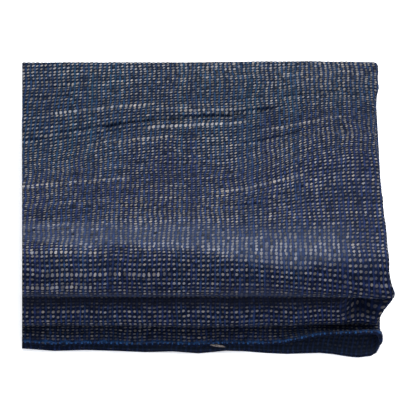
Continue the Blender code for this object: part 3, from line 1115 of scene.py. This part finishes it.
def bells_mask(tree, places, row, column):
    """The strongest of a table's places: a bell curve over the columns times one over the rows."""
    times = partial(calc, tree, "MULTIPLY")
    masks = []
    for place in places:
        columns_off = calc(tree, "DIVIDE", calc(tree, "SUBTRACT", column, place.column), place.columns)
        rows_off = calc(tree, "DIVIDE", calc(tree, "SUBTRACT", row, place.row), place.rows)
        square = calc(tree, "MULTIPLY_ADD", rows_off, rows_off, times(columns_off, columns_off))
        masks.append(times(calc(tree, "EXPONENT", times(square, -1.0)), place.strength))
    return strongest(tree, masks)


def dark_column_mask(tree, column):
    """The strongest of the dark columns here."""
    times = partial(calc, tree, "MULTIPLY")
    return strongest(tree, [times(picked(tree, column, dark.column), dark.strength) for dark in DARK_COLUMNS])


# %% Sizes, lights and ramps of the weave
# Scales and finenesses are per metre, and the sizes and shifts of a dot are shares of its cell.
WANDER_SCALE = 75.0
WANDER = 0.3
TREMBLE_SCALE = 330.0
TREMBLE = 0.4
PATCH_SCALE = 26.0
YARN_FINENESS = 2400.0
WEFT_STRETCH = (0.35, 1.0, 1.0)
WARP_STRETCH = (1.0, 0.30, 1.0)
OTHER_DRAW = 31.0
ROW_DRAW = 57.3
COLUMN_DRAW = 11.7
STITCH_DRAW = 4.0
DOT_HALF_WIDTH = 0.25
DOT_HALF_HEIGHT = 0.19
DOT_SHIFT_ACROSS = 0.14
DOT_SHIFT_ALONG = 0.18
WIDTH_SPREAD = 0.08
HEIGHT_SPREAD = 0.09
ROW_HEIGHT_SPREAD = 0.05
THICK_WIDENS = 0.04
THICK_HEIGHTENS = 0.34
CROWDED_HEIGHTENS = 0.20
NOTCH = 0.22
DARK_RIDGE = 0.8
RIDGE_HEIGHT = 0.45
WEFT_FUZZ_HEIGHT = 0.35
WARP_FUZZ_HEIGHT = 0.25
HUMP_SHEEN_PATCHES = 6.0
TEAL_BY_COLUMN = 0.6
TEAL_HELD_BACK = 0.60
# Shares of the painted sheen on the hump, over the dots and over the ground.
HUMP_SHEEN_ON_DOTS = 0.6
HUMP_SHEEN_ON_GROUND = 0.42
# Shares of the painted shade and of the painted shadow in the pocket, over the ground and the dots.
PAINTED_SHADE_ON_GROUND = 0.45
POCKET_SHADOW_ON_GROUND = 0.9
PAINTED_SHADE_HIDES = 0.85
POCKET_SHADOW_HIDES = 0.95
Light = namedtuple("Light", "spread least")
COLUMN_LIGHT = Light(0.45, 0.70)
STITCH_LIGHT = Light(1.10, 0.45)
WARP_FUZZ_LIGHT = Light(1.20, 0.40)
DOT_LIGHT = Light(0.80, 0.42)
ROW_LIGHT = Light(0.60, 0.68)
PATCH_LIGHT = Light(1.20, 0.40)
WEFT_FUZZ_LIGHT = Light(0.90, 0.55)
THICK_LIGHT = Light(0.60, 0.30)
Ramp = namedtuple("Ramp", "low high start end")
# Ramps over rows or columns, counted in dots.
PAINTED_SHADE_FADES_AT_RIGHT = Ramp(29.0, 33.0, 1.0, 0.2)
HUMP_SHEEN_FRONT = Ramp(0.5, 3.5, 0.0, 1.0)
HUMP_SHEEN_BACK = Ramp(8.0, 15.0, 1.0, 0.0)
DOT_LEAN = Ramp(-6.0, 4.0, -0.10, -0.35)
REAR_TEAL = Ramp(20.0, 62.0, -0.15, 0.45)
# Ramps over a place on the weave map, in metres.
HUMP_SHEEN_LOWER_AT_RIGHT = Ramp(-0.020, 0.035, 0.0, 4.0)
HUMP_SHEEN_HIGHER_AT_LEFT = Ramp(-0.100, -0.060, -2.5, 0.0)
HUMP_SHEEN_RIGHT_END = Ramp(0.060, 0.084, 1.0, 0.15)
DOTS_NEAR_SELVEDGE = Ramp(0.001, 0.007, 0.22, 1.0)
RIM_FRONT = Ramp(-0.0005, 0.0001, 0.0, 1.0)
RIM_BACK = Ramp(0.0008, 0.0026, 1.0, 0.0)
RIM_RIGHT_END = Ramp(0.086, 0.094, 1.0, 0.0)
END_SHADE = Ramp(-0.0008, -0.0001, 0.45, 1.0)
# Ramps over shares: of a dot's radius, of its cell, or of a random number or noise.
DOT_EDGE = Ramp(0.72, 1.22, 1.0, 0.0)
RIDGE_SIDE = Ramp(0.20, 0.42, 0.0, 1.0)
DIM_DOTS = Ramp(0.02, 0.10, 0.3, 1.0)
RIM_PATCHES = Ramp(0.35, 0.60, 0.25, 1.0)


# %% The weave group
def make_weave_group():
    """Beige dots on navy yarns. A dot is an ellipse in its cell; warp ridges fill the cell's sides."""
    group, start, end = new_group(
        "chambray_weave",
        [
            ("Place", VECTOR, None),
            ("Column Pitch", FLOAT, COLUMN_PITCH),
            ("Row Pitch", FLOAT, ROW_PITCH),
            ("Weft Shown", FLOAT, 1.0),
        ],
        [("Colour", COLOUR), ("Dot", FLOAT), ("Height", FLOAT)],
    )
    times = partial(calc, group, "MULTIPLY")
    plus = partial(calc, group, "ADD")
    line = partial(calc, group, "MULTIPLY_ADD")
    step = partial(ramp, group)
    mix = partial(blend_colour, group)

    # The place counted in dots, after a slow wander and a fine tremble of the yarns.
    place = start.outputs["Place"]
    parts = put(group, "ShaderNodeSeparateXYZ", {0: place}).outputs
    wander = channels(group, noise(group, place, WANDER_SCALE, 1.0)["Color"])
    tremble = noise(group, place, TREMBLE_SCALE, 1.0)[0]
    across = calc(group, "DIVIDE", parts[0], start.outputs["Column Pitch"])
    across = plus(across, line(wander[0], WANDER, -0.5 * WANDER))
    across = plus(across, line(tremble, TREMBLE, -0.5 * TREMBLE))
    along = calc(group, "DIVIDE", calc(group, "SUBTRACT", parts[1], CREST), start.outputs["Row Pitch"])
    along = plus(along, line(wander[1], WANDER, -0.5 * WANDER))
    column = calc(group, "ROUND", across)
    row = calc(group, "ROUND", along)

    # Random numbers for each dot, row, column and stretch of warp between two columns.
    cell = put(group, "ShaderNodeCombineXYZ", {0: column, 1: row}).outputs[0]
    dot_chance = chance(group, "2D", "Vector", cell)
    chances = channels(group, dot_chance["Color"])
    other_cell = put(group, "ShaderNodeCombineXYZ", {0: row, 1: plus(column, OTHER_DRAW)}).outputs[0]
    others = channels(group, chance(group, "2D", "Vector", other_cell)["Color"])
    row_chance = chance(group, "1D", "W", plus(row, ROW_DRAW))["Value"]
    column_chance = chance(group, "1D", "W", plus(column, COLUMN_DRAW))["Value"]
    between = {0: calc(group, "FLOOR", across), 1: row, 2: STITCH_DRAW}
    between = put(group, "ShaderNodeCombineXYZ", between).outputs[0]
    stitch = chance(group, "3D", "Vector", between)["Value"]
    patch = noise(group, place, PATCH_SCALE, 3.0)[0]

    # The chosen rows, columns and places, and a painted blue-grey sheen on the hump of the large roll.
    thick = thick_row_mask(group, row, column)
    dark = dark_column_mask(group, column)
    pocket_shadow = bells_mask(group, POCKET_SHADOW_PLACES, along, across)
    painted_shade = bells_mask(group, PAINTED_SHADE_PLACES, along, across)
    painted_shade = times(painted_shade, step(across, *PAINTED_SHADE_FADES_AT_RIGHT))
    settled = plus(along, step(parts[0], *HUMP_SHEEN_LOWER_AT_RIGHT))
    settled = plus(settled, step(parts[0], *HUMP_SHEEN_HIGHER_AT_LEFT))
    settled = line(patch, HUMP_SHEEN_PATCHES, plus(settled, -0.5 * HUMP_SHEEN_PATCHES))
    hump_sheen = times(step(settled, *HUMP_SHEEN_FRONT), step(settled, *HUMP_SHEEN_BACK))
    hump_sheen = times(hump_sheen, step(parts[0], *HUMP_SHEEN_RIGHT_END))
    crowded = calc(group, "MAXIMUM", hump_sheen, bells_mask(group, MERGED_DOTS, along, across))

    # The dot: a leaning ellipse, a little off the middle of its cell.
    in_across = calc(group, "SUBTRACT", across, column)
    in_along = calc(group, "SUBTRACT", along, row)
    dot_across = line(chances[0], DOT_SHIFT_ACROSS, plus(in_across, -0.5 * DOT_SHIFT_ACROSS))
    dot_along = line(chances[1], DOT_SHIFT_ALONG, plus(in_along, -0.5 * DOT_SHIFT_ALONG))
    dot_along = line(dot_across, step(along, *DOT_LEAN), dot_along)
    half_width = line(thick, THICK_WIDENS, line(chances[2], WIDTH_SPREAD, DOT_HALF_WIDTH))
    half_height = line(others[0], HEIGHT_SPREAD, DOT_HALF_HEIGHT)
    half_height = line(row_chance, ROW_HEIGHT_SPREAD, half_height)
    half_height = line(thick, THICK_HEIGHTENS, half_height)
    half_height = line(crowded, CROWDED_HEIGHTENS, half_height)
    width_square = calc(group, "POWER", calc(group, "DIVIDE", dot_across, half_width), 2.0)
    height_square = calc(group, "POWER", calc(group, "DIVIDE", dot_along, half_height), 2.0)
    dot = step(calc(group, "SQRT", plus(width_square, height_square)), *DOT_EDGE)

    # The warp ridges beside it, dimmer between two rows, and the blue rim of the selvedge.
    side = calc(group, "ABSOLUTE", in_across)
    ridge = calc(group, "MAXIMUM", step(side, *RIDGE_SIDE), times(dark, DARK_RIDGE))
    notch = times(calc(group, "COSINE", times(in_along, TURN)), NOTCH)
    ridge_light = times(ridge, plus(notch, 1.0 - NOTCH))
    rim = times(step(parts[1], *RIM_FRONT), step(parts[0], *RIM_RIGHT_END))
    rim = times(rim, step(parts[1], *RIM_BACK))
    rim = times(rim, step(tremble, *RIM_PATCHES))
    ridge = calc(group, "MAXIMUM", ridge, rim)
    ridge_light = calc(group, "MAXIMUM", ridge_light, rim)
    ridge_light = times(ridge_light, step(parts[1], *END_SHADE))

    def fuzz(stretch):
        """The fuzz of one yarn, stretched along it."""
        inputs = {"Place": place, "Stretch": stretch, "Fineness": YARN_FINENESS}
        return put(group, "ShaderNodeGroup", inputs, node_tree=fibre_group).outputs["Fuzz"]

    # The ground: navy yarns and pits in painted shade, with a painted sheen on the hump, painted shade in
    # the grooves and where the large roll turns under, and a painted shadow in the pocket.
    weft_fuzz = fuzz(WEFT_STRETCH)
    warp_fuzz = fuzz(WARP_STRETCH)
    teal_share = line(column_chance, TEAL_BY_COLUMN, line(patch, 1.0, -TEAL_HELD_BACK))
    teal_share = plus(teal_share, step(along, *REAR_TEAL))
    yarn = mix(rim, mix(teal_share, NAVY, TEAL), SELVEDGE_BLUE)
    yarn_light = times(line(column_chance, *COLUMN_LIGHT), line(stitch, *STITCH_LIGHT))
    yarn_light = times(yarn_light, line(warp_fuzz, *WARP_FUZZ_LIGHT))
    ground = mix(ridge_light, PIT_SHADE_COLOUR, lit(group, yarn, yarn_light))
    ground = mix(times(hump_sheen, HUMP_SHEEN_ON_GROUND), ground, HUMP_SHEEN_BLUE)
    ground = mix(times(painted_shade, PAINTED_SHADE_ON_GROUND), ground, PAINTED_SHADE_BLUE)
    ground = mix(times(pocket_shadow, POCKET_SHADOW_ON_GROUND), ground, PIT_SHADE_COLOUR)

    # The beige weft: a few dots are dim, those of the thick rows are brighter, and the painted sheen greys
    # them on the hump.
    beige = mix(others[1], BEIGE, GREY_BEIGE)
    beige = mix(times(hump_sheen, HUMP_SHEEN_ON_DOTS), beige, HUMP_SHEEN_GREY)
    dot_light = times(line(others[2], *DOT_LIGHT), step(dot_chance["Value"], *DIM_DOTS))
    dot_light = times(dot_light, line(row_chance, *ROW_LIGHT))
    dot_light = times(dot_light, line(patch, *PATCH_LIGHT))
    dot_light = times(dot_light, line(weft_fuzz, *WEFT_FUZZ_LIGHT))
    dot_light = plus(times(thick, line(chances[0], *THICK_LIGHT)), dot_light)
    beige = lit(group, beige, dot_light)

    # Where the dot is hidden: in the dark columns, and under the painted shade and the painted shadow of
    # the pocket. Then the three outputs.
    dot = times(dot, line(dark, -1.0, 1.0))
    dot = times(dot, line(painted_shade, -PAINTED_SHADE_HIDES, 1.0))
    dot = times(dot, line(pocket_shadow, -POCKET_SHADOW_HIDES, 1.0))
    edge_fade = step(calc(group, "ABSOLUTE", parts[1]), *DOTS_NEAR_SELVEDGE)
    dot = times(dot, times(edge_fade, start.outputs["Weft Shown"]))
    fuzz_height = line(weft_fuzz, WEFT_FUZZ_HEIGHT, times(warp_fuzz, WARP_FUZZ_HEIGHT))
    group.links.new(mix(dot, ground, beige), end.inputs["Colour"])
    group.links.new(dot, end.inputs["Dot"])
    group.links.new(plus(dot, line(ridge, RIDGE_HEIGHT, fuzz_height)), end.inputs["Height"])
    return group


weave_group = make_weave_group()
print("weave group nodes:", len(weave_group.nodes))

# %% [markdown]
# ## The cotton
#
# Unbleached and indigo cotton is matt, with a faint sheen from loose fibre that shows at a glancing
# view, as on the hump of the large roll, where the weave group also paints a blue-grey sheen. The weave's
# height goes into a Bump node on top of the relief that is in the mesh. The inner face shows less of the
# beige weft, and a share of painted light lifts its dark colour towards a grey blue. The selvedge loops
# are the same cotton in blue alone, and the loose end is the beige yarn alone.

# %% Cloth and loop materials
COTTON_ROUGHNESS = 0.88
COTTON_SHEEN = 0.07
COTTON_SHEEN_ROUGHNESS = 0.40
COTTON_SHEEN_TINT = (0.32, 0.52, 1.0, 1.0)
COTTON_SHINE = 0.05
NAVY_ROUGHNESS = 0.93
BEIGE_ROUGHNESS = 0.80
WEAVE_DEPTH = 0.00035
SINGLE_YARN_FINENESS = 1500.0
SINGLE_YARN_DEPTH = 0.0002
SINGLE_YARN_BUMP = 0.8
DARK_TO_LIGHT_FUZZ = (0.35, 0.60)
INSIDE_WEFT = 0.22
LOOP_BLUE = (0.017, 0.062, 0.165, 1.0)
LOOP_NAVY = (0.008, 0.028, 0.080, 1.0)
LOOSE_BEIGE = (0.210, 0.180, 0.150, 1.0)
LOOSE_SHADE = (0.050, 0.045, 0.050, 1.0)
# Painted light: the inner face's colour is lifted a quarter of the way towards a grey blue.
INSIDE_PAINTED_LIGHT = (0.032, 0.044, 0.065, 1.0)
INSIDE_PAINTED_LIGHT_SHARE = 0.25


def cotton_material(name):
    """A material with a matt, slightly sheeny Principled BSDF, and that shader."""
    material = bpy.data.materials.new(name)
    material.use_nodes = True
    shader = material.node_tree.nodes["Principled BSDF"]
    shader.inputs["Roughness"].default_value = COTTON_ROUGHNESS
    shader.inputs["Sheen Weight"].default_value = COTTON_SHEEN
    shader.inputs["Sheen Roughness"].default_value = COTTON_SHEEN_ROUGHNESS
    shader.inputs["Sheen Tint"].default_value = COTTON_SHEEN_TINT
    shader.inputs["Specular IOR Level"].default_value = COTTON_SHINE
    return material, shader


def chambray_material(name, weft_shown, painted_light_share):
    """The woven cloth, on its weave map, with as much of the beige weft as that face shows, and a share of
    painted light that lifts its colour towards a grey blue."""
    material, shader = cotton_material(name)
    tree = material.node_tree
    place = put(tree, "ShaderNodeUVMap", uv_map="weave").outputs[0]
    weave = put(tree, "ShaderNodeGroup", {"Place": place, "Weft Shown": weft_shown}, node_tree=weave_group)
    colour = blend_colour(tree, painted_light_share, weave.outputs["Colour"], INSIDE_PAINTED_LIGHT)
    tree.links.new(colour, shader.inputs["Base Color"])
    roughness = ramp(tree, weave.outputs["Dot"], 0.0, 1.0, NAVY_ROUGHNESS, BEIGE_ROUGHNESS)
    tree.links.new(roughness, shader.inputs["Roughness"])
    relief_inputs = {"Height": weave.outputs["Height"], "Distance": WEAVE_DEPTH, "Strength": 1.0}
    tree.links.new(put(tree, "ShaderNodeBump", relief_inputs).outputs[0], shader.inputs["Normal"])
    return material


def yarn_material(name, dark, light):
    """The cotton of a single yarn between two colours, on object coordinates."""
    material, shader = cotton_material(name)
    tree = material.node_tree
    place = put(tree, "ShaderNodeTexCoord").outputs["Object"]
    inputs = {"Place": place, "Fineness": SINGLE_YARN_FINENESS}
    fuzz = put(tree, "ShaderNodeGroup", inputs, node_tree=fibre_group).outputs["Fuzz"]
    colour = blend_colour(tree, ramp(tree, fuzz, *DARK_TO_LIGHT_FUZZ), dark, light)
    tree.links.new(colour, shader.inputs["Base Color"])
    relief_inputs = {"Height": fuzz, "Distance": SINGLE_YARN_DEPTH, "Strength": SINGLE_YARN_BUMP}
    tree.links.new(put(tree, "ShaderNodeBump", relief_inputs).outputs[0], shader.inputs["Normal"])
    return material


cloth.data.materials.append(chambray_material("chambray", 1.0, 0.0))
cloth.data.materials.append(chambray_material("chambray_inside", INSIDE_WEFT, INSIDE_PAINTED_LIGHT_SHARE))
loops.data.materials.append(yarn_material("selvedge_yarn", LOOP_NAVY, LOOP_BLUE))
loose_end.data.materials.append(yarn_material("loose_yarn", LOOSE_SHADE, LOOSE_BEIGE))

# %% [markdown]
# ## Fasten the pieces to the frame
#
# The sheet stands for the imported solid and rides on the one body.

for piece in (cloth, loops, loose_end):
    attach(piece, "root")
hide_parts("cloth")

# %% [markdown]
# ## A plain studio
#
# The cloth lies on a pale floor under a large soft light that stands a little behind it, so the top is
# light and the front falls into shade. A weak, faintly blue light from the front and an even, faintly
# blue sky fill that shade. The floor is drawn white, but gives back less light than it shows, or the
# rolls underneath would be lit from below.

# %% Floor, lights and camera
FLOOR_SIZE = 6.0
FLOOR_ROUGHNESS = 0.9
FLOOR_SHOWN = 0.92
FLOOR_GIVEN_BACK = 0.46
FLOOR_GLOW = 0.45
SKY_STRENGTH = 0.50
KEY_POWER = 56.5
KEY_SIZE = 1.3
KEY_PLACE = (0.30, 0.80, 1.55)
KEY_COLOUR = (1.0, 1.0, 1.0)
SKY_COLOUR = (0.86, 0.92, 1.0, 1.0)
FILL_POWER = 24.0
FILL_SIZE = 1.2
FILL_PLACE = (0.35, -1.52, 0.30)
FILL_COLOUR = (0.84, 0.86, 1.0)
CAMERA_AIM = (0.0, 0.084, 0.027)
CAMERA_DISTANCE = 1.670
CAMERA_ELEVATION = np.radians(38.0)
CAMERA_LENS = 272.0


def make_floor():
    """A wide square, white to the camera and grey to every other ray."""
    corners = 0.5 * FLOOR_SIZE * np.array([[-1, -1, 0], [1, -1, 0], [1, 1, 0], [-1, 1, 0]])
    mesh = bpy.data.meshes.new("floor")
    mesh.from_pydata(corners.tolist(), [], [(0, 1, 2, 3)])
    floor = linked("floor", mesh)
    material = bpy.data.materials.new("pale_floor")
    material.use_nodes = True
    tree = material.node_tree
    shader = tree.nodes["Principled BSDF"]
    shader.inputs["Roughness"].default_value = FLOOR_ROUGHNESS
    shader.inputs["Specular IOR Level"].default_value = 0.0
    seen = put(tree, "ShaderNodeLightPath").outputs["Is Camera Ray"]
    given = (FLOOR_GIVEN_BACK, FLOOR_GIVEN_BACK, FLOOR_GIVEN_BACK, 1.0)
    shown = (FLOOR_SHOWN, FLOOR_SHOWN, FLOOR_SHOWN, 1.0)
    tree.links.new(blend_colour(tree, seen, given, shown), shader.inputs["Base Color"])
    shader.inputs["Emission Color"].default_value = shown
    tree.links.new(calc(tree, "MULTIPLY", seen, FLOOR_GLOW), shader.inputs["Emission Strength"])
    floor.data.materials.append(material)


def aim(thing, target):
    """Turns a light or camera so that it looks at the target."""
    thing.rotation_euler = (Vector(target) - thing.location).to_track_quat("-Z", "Y").to_euler()


def soft_light(name, power, size, place, colour):
    """A large square area light that looks at the cloth."""
    data = bpy.data.lights.new(name, "AREA")
    data.energy = power
    data.size = size
    data.color = colour
    light = linked(name, data)
    light.location = Vector(place)
    aim(light, (0.0, 0.0, 0.0))


def make_sky():
    """An even, faintly blue sky."""
    world = bpy.data.worlds.new("studio")
    bpy.context.scene.world = world
    world.use_nodes = True
    background = world.node_tree.nodes["Background"]
    background.inputs["Color"].default_value = SKY_COLOUR
    background.inputs["Strength"].default_value = SKY_STRENGTH


def make_camera():
    """The photograph's view: from in front and above, with a long lens."""
    data = bpy.data.cameras.new("camera")
    data.lens = CAMERA_LENS
    camera = linked("camera", data)
    target = Vector(CAMERA_AIM) + Vector(move.tolist())
    back = Vector((0.0, -np.cos(CAMERA_ELEVATION), np.sin(CAMERA_ELEVATION)))
    camera.location = target + CAMERA_DISTANCE * back
    aim(camera, target)
    bpy.context.scene.camera = camera


make_floor()
soft_light("soft_key", KEY_POWER, KEY_SIZE, KEY_PLACE, KEY_COLOUR)
soft_light("weak_fill", FILL_POWER, FILL_SIZE, FILL_PLACE, FILL_COLOUR)
make_sky()
make_camera()
bpy.context.scene.view_settings.view_transform = "Standard"
